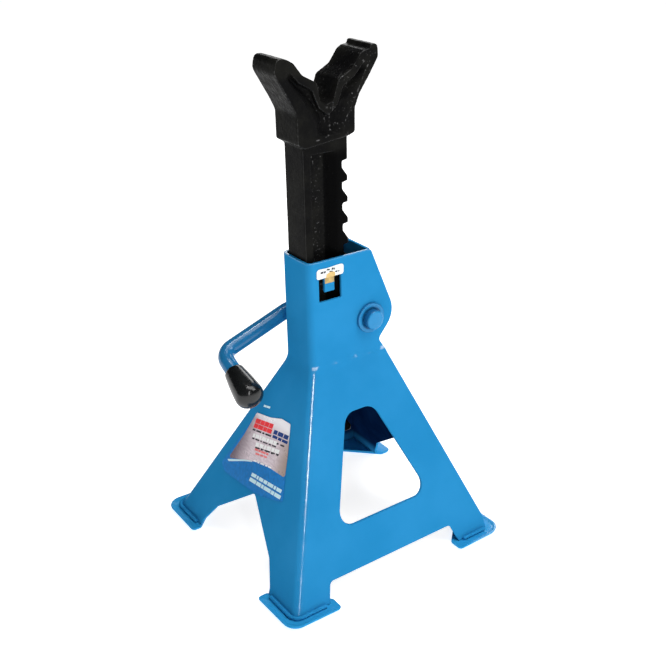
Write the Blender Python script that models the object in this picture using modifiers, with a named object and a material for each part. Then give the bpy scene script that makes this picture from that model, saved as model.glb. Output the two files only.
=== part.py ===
"""Axle jack stand: a stamped steel pyramid base, a cast ratchet column with a saddle, and a pawl on a bent lever.

Frame: origin at the centre of the base on the floor, +Z up, +X towards the column's teeth and the pivot ears.
The near side face looks along -Y and the front face, which carries the label, looks along -X.
"""
from math import atan2, cos, pi, sin, sqrt, tan

import bmesh
import bpy
from mathutils import Matrix, Vector

MM = 0.001
GAP = 0.3 * MM                      # clearance between pieces that touch

# Base: tower on top, legs flaring below the waist
SHEET = 3.0 * MM
TOWER_TOP = 310.0 * MM
WAIST = 198.0 * MM                  # height of the fold between tower and legs
WAIST_SOFTNESS = 7.0 * MM           # half height over which the fold is rounded
TOWER_FRONT = 34.1 * MM             # distance of the tower's front face from the axis
TOWER_SIDE = 23.6 * MM              # half width of the tower across Y
FOOT_FRONT = 120.4 * MM             # the same two distances at the feet
FOOT_SIDE = 117.7 * MM
FOOT_REAR = 114.5 * MM
TOWER_REAR = 39.5 * MM
CORNER_RADIUS = 7.0 * MM
PAD_THICKNESS = 4.0 * MM
LEG_BOTTOM = PAD_THICKNESS + GAP

# Ratchet column and saddle
PITCH = 20.6 * MM
COLUMN_BACK = -(TOWER_FRONT - SHEET - GAP)
TOOTH_ROOT = 12.0 * MM
TOOTH_TIP = 18.2 * MM
COLUMN_HALF = 15.7 * MM             # half thickness across Y
COLUMN_BOTTOM = 112.8 * MM
FIRST_LEDGE = 401.0 * MM
TOOTH_COUNT = 14
LEDGE_RAKE = 0.8 * MM
SADDLE_HALF = 19.0 * MM
SADDLE_CENTRE = -4.0 * MM
SADDLE_FLOOR = 12.5 * MM            # half thickness of the saddle's web
POCKET_FLOOR = 9.2 * MM             # half thickness of the web between the two side pockets
POCKET_BOTTOM = 126.5 * MM
POCKET_TOP = 411.0 * MM

# Pawl and lever
PIVOT = Vector((36.5 * MM, 0.0, 238.0 * MM))
BAR_RADIUS = 8.0 * MM
BORE_RADIUS = BAR_RADIUS + GAP
NOSE_RADIUS = 43.1 * MM             # the pawl's nose is an arc about the pivot
PAWL_HALF = 12.0 * MM
HUB_RADIUS = 12.5 * MM
WASHER_RADIUS = 15.6 * MM
WASHER_THICKNESS = 2.5 * MM
BAR_NEAR_END = -32.0 * MM
RUN_Y = 41.0 * MM                   # the lever's side run lies this far out
BEND_RADIUS = 14.0 * MM
CRANK = Vector((-19.6 * MM, RUN_Y, 238.0 * MM))
ELBOW = Vector((-95.1 * MM, RUN_Y, 211.4 * MM))
HANDLE_DIRECTION = Vector((-0.05, -0.93, -0.36)).normalized()
GRIP_START = 26.0 * MM              # along the handle from the elbow
GRIP_LENGTH = 44.0 * MM

BLUE = (0.030, 0.270, 0.600)
BLACK = (0.012, 0.012, 0.013)

PLANE_XY = Matrix.Identity(3)
PLANE_XZ = Matrix(((1, 0, 0), (0, 0, -1), (0, 1, 0)))
PLANE_YZ = Matrix(((0, 0, 1), (1, 0, 0), (0, 1, 0)))


# ---------------------------------------------------------------- helpers

def clear_scene():
    for obj in list(bpy.data.objects):
        bpy.data.objects.remove(obj, do_unlink=True)


def collection(name):
    group = bpy.data.collections.new(name)
    bpy.context.scene.collection.children.link(group)
    return group


def material(name, colour, roughness, metallic):
    mat = bpy.data.materials.new(name)
    mat.use_nodes = True
    shader = mat.node_tree.nodes["Principled BSDF"]
    shader.inputs["Base Color"].default_value = (*colour, 1.0)
    shader.inputs["Roughness"].default_value = roughness
    shader.inputs["Metallic"].default_value = metallic
    return mat


def finish(obj, colour=BLUE, roughness=0.3, metallic=0.0):
    """Give a part its own material and smooth shading with sharp edges kept."""
    obj.data.materials.clear()
    obj.data.materials.append(material(obj.name, colour, roughness, metallic))
    if obj.type == "MESH":
        obj.data.shade_smooth()
        obj.data.set_sharp_from_angle(angle=0.6)
    return obj


def rounded(corners, steps=5):
    """Turn corners (a, b, radius), all in millimetres, into an outline with arcs, in metres."""
    points = []
    for index, (a, b, radius) in enumerate(corners):
        here = Vector((a, b)) * MM
        before = Vector(corners[index - 1][:2]) * MM
        after = Vector(corners[(index + 1) % len(corners)][:2]) * MM
        if radius == 0:
            points.append(here)
            continue
        to_before = (before - here).normalized()
        to_after = (after - here).normalized()
        half = to_before.angle(to_after) / 2
        reach = radius * MM / tan(half)
        centre = here + (to_before + to_after).normalized() * radius * MM / sin(half)
        start = here + to_before * reach - centre
        end = here + to_after * reach - centre
        turn = start.angle_signed(end)
        for step in range(steps + 1):
            angle = -turn * step / steps
            points.append(centre + Matrix.Rotation(angle, 2) @ start)
    return points


def circle(centre, radius, segments=32):
    return [Vector((centre[0] + radius * cos(2 * pi * i / segments),
                    centre[1] + radius * sin(2 * pi * i / segments))) for i in range(segments)]


def to_mesh(curve_object, group):
    """Replace a curve object by a welded mesh object of the same name, so that it can be cut."""
    graph = bpy.context.evaluated_depsgraph_get()
    mesh = bpy.data.meshes.new_from_object(curve_object.evaluated_get(graph))
    work = bmesh.new()
    work.from_mesh(mesh)
    bmesh.ops.remove_doubles(work, verts=work.verts, dist=0.001 * MM)
    bmesh.ops.recalc_face_normals(work, faces=work.faces)
    work.to_mesh(mesh)
    work.free()
    name = curve_object.name
    matrix = curve_object.matrix_world.copy()
    bpy.data.objects.remove(curve_object, do_unlink=True)
    obj = bpy.data.objects.new(name, mesh)
    obj.matrix_world = matrix
    group.objects.link(obj)
    return obj


def plate(name, group, outlines, thickness, axes=PLANE_XY, origin=(0, 0, 0)):
    """A flat plate from closed outlines, the first one outside and the others as holes, centred on its plane."""
    curve = bpy.data.curves.new(name, "CURVE")
    curve.dimensions = "2D"
    curve.fill_mode = "BOTH"
    curve.extrude = thickness / 2
    for outline in outlines:
        spline = curve.splines.new("POLY")
        spline.points.add(len(outline) - 1)
        for point, place in zip(spline.points, outline):
            point.co = (place[0], place[1], 0.0, 1.0)
        spline.use_cyclic_u = True
    obj = bpy.data.objects.new(name, curve)
    obj.matrix_world = Matrix.Translation(origin) @ axes.to_4x4()
    group.objects.link(obj)
    bpy.context.view_layer.update()
    return to_mesh(obj, group)


def prism(name, cutters, outlines, low, high, axes):
    """A cutter: outlines extruded from low to high along the plane's normal."""
    normal = axes.col[2]
    obj = plate(name, cutters, outlines, high - low, axes, normal * (low + high) / 2)
    obj.hide_render = True
    obj.display_type = "WIRE"
    return obj


def stacked(name, group, rings):
    """A closed solid through rings of points of equal length, capped at the first and the last."""
    work = bmesh.new()
    loops = [[work.verts.new(point) for point in ring] for ring in rings]
    for low, high in zip(loops, loops[1:]):
        for i in range(len(low)):
            j = (i + 1) % len(low)
            work.faces.new((low[i], low[j], high[j], high[i]))
    work.faces.new(loops[0])
    work.faces.new(loops[-1])
    bmesh.ops.recalc_face_normals(work, faces=work.faces)
    mesh = bpy.data.meshes.new(name)
    work.to_mesh(mesh)
    work.free()
    obj = bpy.data.objects.new(name, mesh)
    group.objects.link(obj)
    return obj


def combine(target, tool, operation="DIFFERENCE"):
    modifier = target.modifiers.new(tool.name, "BOOLEAN")
    modifier.object = tool
    modifier.operation = operation
    modifier.solver = "EXACT"


def tubes(name, group, paths, radius, resolution=2):
    """Round bars with filled ends along lists of points, as one curve object."""
    curve = bpy.data.curves.new(name, "CURVE")
    curve.dimensions = "3D"
    curve.bevel_depth = radius
    curve.bevel_resolution = resolution
    curve.use_fill_caps = True
    for path in paths:
        spline = curve.splines.new("POLY")
        spline.points.add(len(path) - 1)
        for point, place in zip(spline.points, path):
            point.co = (*place, 1.0)
    obj = bpy.data.objects.new(name, curve)
    group.objects.link(obj)
    return obj


def turned(name, group, profile, segments=32):
    """A turned solid about local Z from a profile of (radius, height) that runs down its outer side."""
    mesh = bpy.data.meshes.new(name)
    points = [(radius, 0.0, height) for radius, height in profile]
    mesh.from_pydata(points, [(i, i + 1) for i in range(len(points) - 1)], [])
    obj = bpy.data.objects.new(name, mesh)
    group.objects.link(obj)
    screw = obj.modifiers.new("turn", "SCREW")
    screw.steps = segments
    screw.render_steps = segments
    screw.use_merge_vertices = True
    screw.merge_threshold = 0.01 * MM
    return obj


def fillet_path(corners, radius, steps=6):
    """A 3-D path through corners whose inner corners are rounded to one radius."""
    path = [corners[0]]
    for before, here, after in zip(corners, corners[1:], corners[2:]):
        to_before = (before - here).normalized()
        to_after = (after - here).normalized()
        half = to_before.angle(to_after) / 2
        centre = here + (to_before + to_after).normalized() * radius / sin(half)
        start = here + to_before * radius / tan(half) - centre
        end = here + to_after * radius / tan(half) - centre
        span = start.angle(end)
        for step in range(steps + 1):
            share = step / steps
            arm = start * sin((1 - share) * span) + end * sin(share * span)
            path.append(centre + arm / sin(span))
    path.append(corners[-1])
    return path


# ---------------------------------------------------------------- base

def flare(top, foot, z):
    """Distance of a base face from the axis at height z: upright above the waist, leaning out below it."""
    slope = (foot - top) / (WAIST - LEG_BOTTOM)
    drop = WAIST - z
    if drop <= -WAIST_SOFTNESS:
        return top
    if drop >= WAIST_SOFTNESS:
        return top + slope * drop
    return top + slope * (drop + WAIST_SOFTNESS) ** 2 / (4 * WAIST_SOFTNESS)


def shell_levels():
    bend = [WAIST + WAIST_SOFTNESS * share for share in (-1.0, -0.5, 0.0, 0.5, 1.0)]
    return [-6 * MM] + bend + [TOWER_TOP + 6 * MM]


def shell_section(z, reach):
    """The base's U-shaped section at height z, open towards +X, from the near side to the far side."""
    front = -flare(TOWER_FRONT, FOOT_FRONT, z)
    side = flare(TOWER_SIDE, FOOT_SIDE, z)
    steps = 4
    arc = []
    for step in range(steps + 1):
        angle = pi / 2 * step / steps
        arc.append((front + CORNER_RADIUS * (1 - sin(angle)), -(side - CORNER_RADIUS * (1 - cos(angle)))))
    mirrored = [(x, -y) for x, y in reversed(arc)]
    return [(reach, -side)] + arc + mirrored + [(reach, side)]


def lofted_sheet(name, group, sections, thickness):
    """An open sheet through sections of equal length, thickened inwards."""
    work = bmesh.new()
    rings = [[work.verts.new(point) for point in section] for section in sections]
    for low, high in zip(rings, rings[1:]):
        for i in range(len(low) - 1):
            work.faces.new((low[i + 1], low[i], high[i], high[i + 1]))
    mesh = bpy.data.meshes.new(name)
    work.to_mesh(mesh)
    work.free()
    obj = bpy.data.objects.new(name, mesh)
    group.objects.link(obj)
    solidify = obj.modifiers.new("sheet", "SOLIDIFY")
    solidify.thickness = thickness
    solidify.offset = -1
    solidify.use_even_offset = True
    return obj


def side_outline():
    """Outline of a side face seen along Y: leg edge, shoulder, neck, pivot ear and tower top."""
    bottom = LEG_BOTTOM / MM
    return rounded([(-160, bottom, 0), (118.3, bottom, 1), (118.3, 17, 8), (55.8, 198, 4), (47.6, 211, 5),
                    (68.6, 235.8, 26), (38.6, 310, 5), (-160, 310, 0)])


def side_window():
    return rounded([(-51.2, 59.3, 12), (60.9, 59.3, 12), (23.7, 153.5, 15), (-9.3, 153.5, 15)], steps=7)


def side_arch():
    """The low cut-out between two feet of a side face."""
    return rounded([(-84, -5, 0), (-74.5, 21.5, 5), (75.0, 21.5, 5), (84, -5, 0)])


def front_arch():
    """The inverted V between two feet of the front or rear face, seen along X."""
    return rounded([(-72, -5, 0), (-68, 10, 6), (-53, 31, 8), (0, 69.5, 4), (53, 31, 8), (68, 10, 6), (72, -5, 0)])


def front_shell(group, cutters):
    sections = []
    for z in shell_levels():
        sections.append([(x, y, z) for x, y in shell_section(z, 130 * MM)])
    shell = lofted_sheet("front_shell", group, sections, SHEET)

    wide = 150 * MM
    combine(shell, prism("side_silhouette", cutters, [side_outline()], -wide, wide, PLANE_XZ), "INTERSECT")
    combine(shell, prism("side_windows", cutters, [side_window()], -wide, wide, PLANE_XZ))
    combine(shell, prism("side_arches", cutters, [side_arch()], -wide, wide, PLANE_XZ))
    combine(shell, prism("front_arch_cut", cutters, [front_arch()], -wide, -60 * MM, PLANE_YZ))
    pivot_hole = [circle((PIVOT.x, PIVOT.z), BORE_RADIUS)]
    combine(shell, prism("pivot_bores", cutters, pivot_hole, -40 * MM, 40 * MM, PLANE_XZ))
    slot = rounded([(-22.3, 268.6, 1), (3.1, 268.6, 1), (3.1, 297.0, 1), (-22.3, 297.0, 1)], steps=2)
    combine(shell, prism("tab_slots", cutters, [slot], -40 * MM, 40 * MM, PLANE_XZ))
    for side in (-1, 1):
        combine(shell, stop_tab(cutters, side), "UNION")
    return finish(shell)


def stop_tab(cutters, side):
    """A tongue lanced from a tower side and set in by a joggle, so that it runs in the column's pocket."""
    profile = [(23.3, 298.2), (23.3, 296.8), (20.9, 291.6), (20.9, 276.6), (18.0, 276.6), (18.0, 292.3),
               (20.6, 297.4), (20.6, 298.2)]
    outline = [Vector((side * y, z)) * MM for y, z in profile]
    name = "stop_tab_near" if side < 0 else "stop_tab_far"
    return prism(name, cutters, [outline], -14.4 * MM, -2.9 * MM, PLANE_YZ)


def rear_panel(group, cutters):
    """Rear stamping between the two side faces, with an upright lip that ends under the pawl opening."""
    inset = SHEET / cos(atan2(FOOT_SIDE - TOWER_SIDE, WAIST)) + GAP
    levels = shell_levels()[:-1] + [219 * MM]
    sections = []
    for z in levels:
        rear = flare(TOWER_REAR, FOOT_REAR, z)
        side = flare(TOWER_SIDE, FOOT_SIDE, z) - inset
        sections.append([(rear, side, z), (rear, -side, z)])
    panel = lofted_sheet("rear_panel", group, sections, SHEET)
    level = [[Vector((30 * MM, LEG_BOTTOM)), Vector((160 * MM, LEG_BOTTOM)),
              Vector((160 * MM, 240 * MM)), Vector((30 * MM, 240 * MM))]]
    combine(panel, prism("rear_trim", cutters, level, -150 * MM, 150 * MM, PLANE_XZ), "INTERSECT")
    combine(panel, prism("rear_arch_cut", cutters, [front_arch()], 50 * MM, 150 * MM, PLANE_YZ))
    return finish(panel)


def throat_plate(group):
    """Upright plate that closes the tower's rear above the pawl opening."""
    half = (TOWER_SIDE - SHEET - GAP) / MM
    outline = rounded([(-half, 287, 0), (half, 287, 0), (half, 309.5, 0), (-half, 309.5, 0)])
    centre = (TOWER_REAR - SHEET / 2, 0, 0)
    return finish(plate("throat_plate", group, [outline], SHEET, PLANE_YZ, centre))


def column_guide(group):
    """U-shaped plate inside the waist that guides the column's teeth and sides."""
    half = (TOWER_SIDE - SHEET) / MM - 0.3
    back = (TOWER_REAR - SHEET) / MM - 0.6
    front = COLUMN_BACK / MM + 4.0
    inner = COLUMN_HALF / MM + 0.4
    teeth = TOOTH_TIP / MM + 0.4
    outline = rounded([(front, -half, 0), (back, -half, 0), (back, half, 0), (front, half, 0),
                       (front, inner, 0), (teeth, inner, 0), (teeth, -inner, 0), (front, -inner, 0)])
    return finish(plate("column_guide", group, [outline], 4 * MM, PLANE_XY, (0, 0, 208 * MM)))


def pad_ring(inset, height, topside):
    """One ring of a pad: its outline drawn in by an inset, its height eased down to the flat at both ends."""
    end = 74 + 0.5 * inset
    side = 67 + 0.5 * inset
    corners = [(131.5 - inset, 128.5 - inset, 15 - inset), (end, 128.5 - inset, 4.5 - 0.4 * inset),
               (end, 113, 4), (121 - 0.3 * inset, side, 4), (131.5 - inset, side, 4 - 0.4 * inset)]
    flat = PAD_THICKNESS if topside else 0.69 * height * MM
    ring = []
    for point in rounded(corners, steps=5):
        rise = min((point.x / MM - 76) / 10, (point.y / MM - 69) / 10)
        rise = max(0.0, min(1.0, rise))
        ring.append(Vector((point.x, point.y, flat + (height * MM - flat) * rise)))
    return ring


def foot_pads(group):
    """Four pressed pads: rounded squares with a slanted inner edge, whose outer edges curl up from the floor."""
    under = [(7.5, 0.0), (4.6, 0.4), (2.0, 1.6), (0.5, 3.4), (0.0, 5.0)]
    over = [(0.8, 5.7), (2.0, 5.4), (4.2, 4.4), (7.0, 4.0)]
    places = {"foot_pad_front": (-1, -1), "foot_pad_left": (-1, 1), "foot_pad_right": (1, -1), "foot_pad_rear": (1, 1)}
    rings = [pad_ring(inset, height, False) for inset, height in under]
    rings += [pad_ring(inset, height, True) for inset, height in over]
    for name, (sx, sy) in places.items():
        placed = [[Vector((sx * point.x, sy * point.y, point.z)) for point in ring] for ring in rings]
        finish(stacked(name, group, placed))


# ---------------------------------------------------------------- column

def tooth_profile():
    """The column's toothed edge from the first ledge down, as (x, z) points."""
    points = []
    for index in range(TOOTH_COUNT):
        ledge = FIRST_LEDGE - index * PITCH
        points.append(Vector((TOOTH_TIP, ledge)))
        points.append(Vector((TOOTH_ROOT, ledge - LEDGE_RAKE)))
        points.append(Vector((TOOTH_ROOT, ledge - 0.34 * PITCH)))
        points.append(Vector((TOOTH_TIP, ledge - 0.76 * PITCH)))
    return points


def saddle_outline():
    """The saddle seen along Y: groove, right horn with its raised lip, collar, then the lower left horn."""
    return rounded([(-6, 456, 4), (1, 457.8, 4), (7.5, 476.5, 4), (22, 484.5, 3), (31, 496.5, 3), (36, 499.6, 1.5),
                    (42.4, 500.4, 0.8), (43.2, 504.2, 1.2), (51.0, 504.2, 4), (51.8, 492, 6), (40.5, 475, 14),
                    (30.5, 461, 10), (25.2, 449, 8), (25, 426.5, 2.5), (18, 424, 0), (-30, 418.5, 0),
                    (-37.3, 423, 2.5), (-37.5, 450, 8), (-43.5, 462, 14), (-59, 489, 8), (-56.5, 501.2, 5),
                    (-49, 501, 2), (-44, 499, 2), (-39, 496, 3), (-30, 484.5, 3), (-15.5, 476.5, 4),
                    (-12, 459.5, 4)], steps=3)


def saddle_pocket_outlines():
    """The rim and the smaller floor of the Y-shaped pocket in a side of the saddle, for a wall with draft."""
    rim = [(0, 446, 3), (10, 453.5, 4), (17, 470.5, 4), (30, 478, 3), (40.5, 490, 2), (44, 485, 2),
           (36.5, 474, 8), (28.5, 464, 8), (20.5, 451.5, 6), (14.5, 440, 6), (14.3, 427, 3)]
    floor = [(0, 444.5, 3), (9, 451.5, 4), (15.5, 469, 3), (28, 475.5, 3), (35.5, 483, 1.2), (37.5, 480.5, 1),
             (31.0, 475, 5), (20.5, 465, 6), (11, 454, 6), (4.8, 443, 5), (3.8, 431, 3)]
    outlines = []
    for half in (rim, floor):
        right = [(SADDLE_CENTRE / MM + a, b, r) for a, b, r in half]
        left = [(SADDLE_CENTRE / MM - a, b, r) for a, b, r in reversed(half[1:])]
        outlines.append(rounded(right + left, steps=3))
    return outlines


def ratchet_column(group, cutters):
    back = COLUMN_BACK
    post = [Vector((back, COLUMN_BOTTOM)), Vector((back, 430 * MM)), Vector((TOOTH_TIP, 430 * MM))]
    post += tooth_profile()
    post += [Vector((TOOTH_TIP - 1.5 * MM, COLUMN_BOTTOM))]
    column = plate("ratchet_column", group, [post], 2 * COLUMN_HALF, PLANE_XZ)

    saddle = prism("saddle_body", cutters, [saddle_outline()], -SADDLE_HALF, SADDLE_HALF, PLANE_XZ)
    combine(column, saddle, "UNION")

    for side in (-1, 1):
        label = "near" if side < 0 else "far"
        floor = side * POCKET_FLOOR
        rim = side * (COLUMN_HALF + 0.5 * MM)
        groove = [Vector((-20.0 * MM, floor)), Vector((-3.5 * MM, floor)),
                  Vector((6.0 * MM, rim)), Vector((-22.7 * MM, rim))]
        combine(column, prism("pocket_" + label, cutters, [groove], POCKET_BOTTOM, POCKET_TOP, PLANE_XY))
        rim_outline, floor_outline = saddle_pocket_outlines()
        levels = [(floor_outline, SADDLE_FLOOR), (rim_outline, SADDLE_HALF + 0.2 * MM),
                  (rim_outline, SADDLE_HALF + 6 * MM)]
        rings = [[Vector((point.x, side * depth, point.y)) for point in outline] for outline, depth in levels]
        recess = stacked("saddle_pocket_" + label, cutters, rings)
        recess.hide_render = True
        recess.display_type = "WIRE"
        combine(column, recess)
    return finish(column, BLACK, 0.35, 0.3)


# ---------------------------------------------------------------- pawl and lever

def pawl(group, cutters):
    """The catch on the lever: a hub on the bar and a nose whose top is an arc about the pivot."""
    hub = []
    nose = []
    for step in range(13):
        angle = pi * (1.02 + 1.02 * step / 12)
        hub.append(Vector((PIVOT.x + HUB_RADIUS * cos(angle), PIVOT.z + HUB_RADIUS * sin(angle))))
    for step in range(6):
        x = (26.0 - 13.4 * step / 5) * MM
        nose.append(Vector((x, PIVOT.z + sqrt(NOSE_RADIUS ** 2 - (x - PIVOT.x) ** 2))))
    under = [Vector((12.6 * MM, 271.0 * MM)), Vector((19.2 * MM, 262.0 * MM)), Vector((20.6 * MM, 254.0 * MM))]
    back = [Vector((46.0 * MM, 250.0 * MM)), Vector((33.0 * MM, 275.0 * MM)), Vector((30.0 * MM, 278.6 * MM))]
    obj = plate("pawl", group, [hub + back + nose + under], 2 * PAWL_HALF, PLANE_XZ)
    bore = [circle((PIVOT.x, PIVOT.z), BORE_RADIUS)]
    combine(obj, prism("pawl_bore", cutters, bore, -2 * PAWL_HALF, 2 * PAWL_HALF, PLANE_XZ))
    combine(obj, cross_hole(cutters, "pawl_cross_hole"))
    return finish(obj, (0.30, 0.30, 0.31), 0.45, 0.8)


def cross_hole(cutters, name):
    """Cutter for the hole of the pin that ties the pawl to the bar."""
    hole = [circle((PIVOT.y, PIVOT.z), 2.8 * MM, 16)]
    return prism(name, cutters, hole, 10 * MM, 60 * MM, PLANE_YZ)


def pawl_pin(group):
    length = 24.0 * MM
    centre = (PIVOT.x, 0, 0)
    pin = plate("pawl_pin", group, [circle((PIVOT.y, PIVOT.z), 2.5 * MM, 16)], length, PLANE_YZ, centre)
    return finish(pin, (0.45, 0.45, 0.46), 0.35, 1.0)


def lever_bar(group, cutters):
    """One round bar: pivot stretch along Y, cranked side run, elbow, and the handle under the grip."""
    turn = Vector((PIVOT.x, RUN_Y, PIVOT.z))
    end = ELBOW + HANDLE_DIRECTION * (GRIP_START + GRIP_LENGTH - 6 * MM)
    corners = [Vector((PIVOT.x, BAR_NEAR_END, PIVOT.z)), turn, CRANK, ELBOW, end]
    bar = tubes("lever_bar", group, [fillet_path(corners, BEND_RADIUS)], BAR_RADIUS, resolution=6)
    bpy.context.view_layer.update()
    bar = to_mesh(bar, group)
    combine(bar, cross_hole(cutters, "bar_cross_hole"))
    return finish(bar)


def along(obj, origin, direction):
    """Stand a turned part on a point with its local Z along a direction."""
    obj.rotation_mode = "QUATERNION"
    obj.rotation_quaternion = Vector((0, 0, 1)).rotation_difference(direction)
    obj.location = origin
    return obj


def lever_grip(group):
    """Moulded grip: a tapered blind sleeve with a domed end."""
    wide = 14.0 * MM
    narrow = 9.6 * MM
    profile = []
    dome = 9.0 * MM
    for step in range(7):
        angle = pi / 2 * step / 6
        profile.append((wide * sin(angle), GRIP_LENGTH - dome + dome * cos(angle)))
    profile += [(wide * 0.985, GRIP_LENGTH * 0.62), (narrow + 0.6 * MM, 2 * MM), (narrow - 0.2 * MM, 0.0)]
    profile += [(BORE_RADIUS, 0.0), (BORE_RADIUS, GRIP_LENGTH - 5.5 * MM), (0.0, GRIP_LENGTH - 5.5 * MM)]
    grip = turned("lever_grip", group, profile)
    along(grip, ELBOW + HANDLE_DIRECTION * GRIP_START, HANDLE_DIRECTION)
    return finish(grip, BLACK, 0.25, 0.0)


def washers(group):
    ring = [circle((PIVOT.x, PIVOT.z), WASHER_RADIUS), circle((PIVOT.x, PIVOT.z), BORE_RADIUS)]
    reach = TOWER_SIDE + GAP + WASHER_THICKNESS / 2
    for name, side in (("washer_near", -1), ("washer_far", 1)):
        finish(plate(name, group, ring, WASHER_THICKNESS, PLANE_XZ, (0, side * reach, 0)))


def end_cap(group):
    """Domed push-on cap that keeps the bar's near end in the ear."""
    radius = 10.0 * MM
    height = 8.0 * MM
    inside = 5.7 * MM
    profile = [(0.0, height), (radius * 0.5, height - 0.6 * MM), (radius * 0.85, height - 2.2 * MM),
               (radius, height - 4.6 * MM), (radius, 0.0), (BORE_RADIUS, 0.0), (BORE_RADIUS, inside), (0.0, inside)]
    cap = turned("end_cap", group, profile)
    seat = -(TOWER_SIDE + WASHER_THICKNESS + 2 * GAP)
    along(cap, Vector((PIVOT.x, seat, PIVOT.z)), Vector((0, -1, 0)))
    return finish(cap)


# ---------------------------------------------------------------- welds and labels

def seam_welds(group):
    """Fillet beads along the rear corner of each side face and beside the throat plate."""
    bead = 1.8 * MM
    room = bead + GAP
    lean = atan2(FOOT_SIDE - TOWER_SIDE, WAIST)
    for label, side in (("near", -1), ("far", 1)):
        seam = []
        for z in (26 * MM, WAIST - WAIST_SOFTNESS):
            reach = flare(TOWER_SIDE, FOOT_SIDE, z) - (SHEET + room) / cos(lean)
            seam.append((flare(TOWER_REAR, FOOT_REAR, z) + room * 1.1, side * reach, z))
        finish(tubes("seam_weld_" + label, group, [seam], bead, 1))
        inner = side * (TOWER_SIDE - SHEET - room)
        short = [(TOWER_REAR + room, inner, z * MM) for z in (289, 297)]
        finish(tubes("throat_weld_" + label, group, [short], bead, 1))


def pad_welds(group):
    """Fillet beads round the feet: one round each front corner, and one along each face of the rear legs."""
    bead = 1.6 * MM
    z = PAD_THICKNESS + GAP + bead
    room = (bead + GAP) * 1.12
    near = flare(TOWER_SIDE, FOOT_SIDE, z) + room
    front = flare(TOWER_FRONT, FOOT_FRONT, z) + room
    rear = flare(TOWER_REAR, FOOT_REAR, z) + room
    runs = {}
    for label, side in (("near", -1), ("far", 1)):
        runs["corner_weld_" + label] = [(-86 * MM, side * near), (-front, side * near), (-front, side * 76 * MM)]
        runs["side_weld_" + label] = [(86 * MM, side * near), (114 * MM, side * near)]
        runs["rear_weld_" + label] = [(rear, side * 76 * MM), (rear, side * 105 * MM)]
    for name, run in runs.items():
        path = fillet_path([Vector((x, y, z)) for x, y in run], CORNER_RADIUS + room, 4)
        finish(tubes(name, group, [path], bead, 1))


def front_label(group):
    """Thin printed label on the leaning front face, a little askew, as a flared panel with a bowed foot."""
    up = Vector((FOOT_FRONT - TOWER_FRONT, 0, WAIST - LEG_BOTTOM)).normalized()
    across = Vector((0, -1, 0))
    outward = across.cross(up)
    axes = Matrix((across, up, outward)).transposed()
    fold = Vector((-TOWER_FRONT, 0, WAIST))
    thickness = 0.5 * MM
    slope = up.z
    corners = [(38, 133.6, 3), (-17.7, 147.9, 3), (-46.6, 82.1, 3), (-6, 70.5, 90), (58, 66.0, 12), (68, 71.5, 3)]
    outline = rounded([(-y, (z - WAIST / MM) / slope, r) for y, z, r in corners], steps=5)
    origin = fold + outward * (thickness / 2 + GAP)
    return finish(plate("front_label", group, [outline], thickness, axes, origin), (0.62, 0.63, 0.66), 0.3, 0.3)


def throat_sticker(group):
    """Small sticker across the top of the near tab slot."""
    outline = rounded([(-25.3, 292.5, 3), (6.1, 292.5, 3), (6.1, 303.5, 3), (-25.3, 303.5, 3)], steps=3)
    thickness = 0.5 * MM
    depth = -(TOWER_SIDE + GAP + thickness / 2)
    sticker = plate("throat_sticker", group, [outline], thickness, PLANE_XZ, (0, depth, 0))
    return finish(sticker, (0.9, 0.9, 0.9), 0.4, 0.0)


def hang(parts, name, location, children):
    """Parent pieces to an empty that stands on their joint's axis."""
    pivot = bpy.data.objects.new(name, None)
    pivot.empty_display_size = 20 * MM
    pivot.location = location
    parts.objects.link(pivot)
    bpy.context.view_layer.update()
    for child in children:
        obj = bpy.data.objects[child]
        obj.parent = pivot
        obj.matrix_parent_inverse = pivot.matrix_world.inverted()


def build():
    clear_scene()
    parts = collection("axle_jack_stand")
    cutters = collection("cutters")
    front_shell(parts, cutters)
    rear_panel(parts, cutters)
    throat_plate(parts)
    column_guide(parts)
    foot_pads(parts)
    ratchet_column(parts, cutters)
    pawl(parts, cutters)
    pawl_pin(parts)
    lever_bar(parts, cutters)
    lever_grip(parts)
    washers(parts)
    end_cap(parts)
    seam_welds(parts)
    pad_welds(parts)
    front_label(parts)
    throat_sticker(parts)
    hang(parts, "column_axis", (0, 0, 0), ["ratchet_column"])
    lever = ["pawl", "pawl_pin", "lever_bar", "lever_grip", "washer_near", "washer_far", "end_cap"]
    hang(parts, "lever_axis", PIVOT, lever)


build()
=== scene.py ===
"""Looks of the axle jack stand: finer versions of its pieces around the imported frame.

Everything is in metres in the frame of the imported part: origin at the centre of the base on the floor,
+Z up, +X towards the column's teeth. The windowed near face looks along -Y and the labelled front face
along -X.
"""

from math import atan2, cos, pi, radians, sin, tan

import bmesh
import bpy
from mathutils import Matrix, Vector, noise


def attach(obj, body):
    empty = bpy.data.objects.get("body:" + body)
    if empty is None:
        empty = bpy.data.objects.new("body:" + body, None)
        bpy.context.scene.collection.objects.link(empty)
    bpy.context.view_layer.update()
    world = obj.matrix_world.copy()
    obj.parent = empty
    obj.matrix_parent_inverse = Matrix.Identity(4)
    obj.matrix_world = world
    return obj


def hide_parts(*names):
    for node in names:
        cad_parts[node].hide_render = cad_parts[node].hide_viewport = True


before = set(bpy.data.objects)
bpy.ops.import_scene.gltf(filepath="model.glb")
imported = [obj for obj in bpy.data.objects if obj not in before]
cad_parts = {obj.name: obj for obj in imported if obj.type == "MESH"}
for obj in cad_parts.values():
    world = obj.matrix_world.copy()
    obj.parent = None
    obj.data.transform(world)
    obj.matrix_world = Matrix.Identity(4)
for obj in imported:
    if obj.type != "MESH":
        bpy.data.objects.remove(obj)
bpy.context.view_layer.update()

MM = 0.001
GAP = 0.3 * MM

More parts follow.
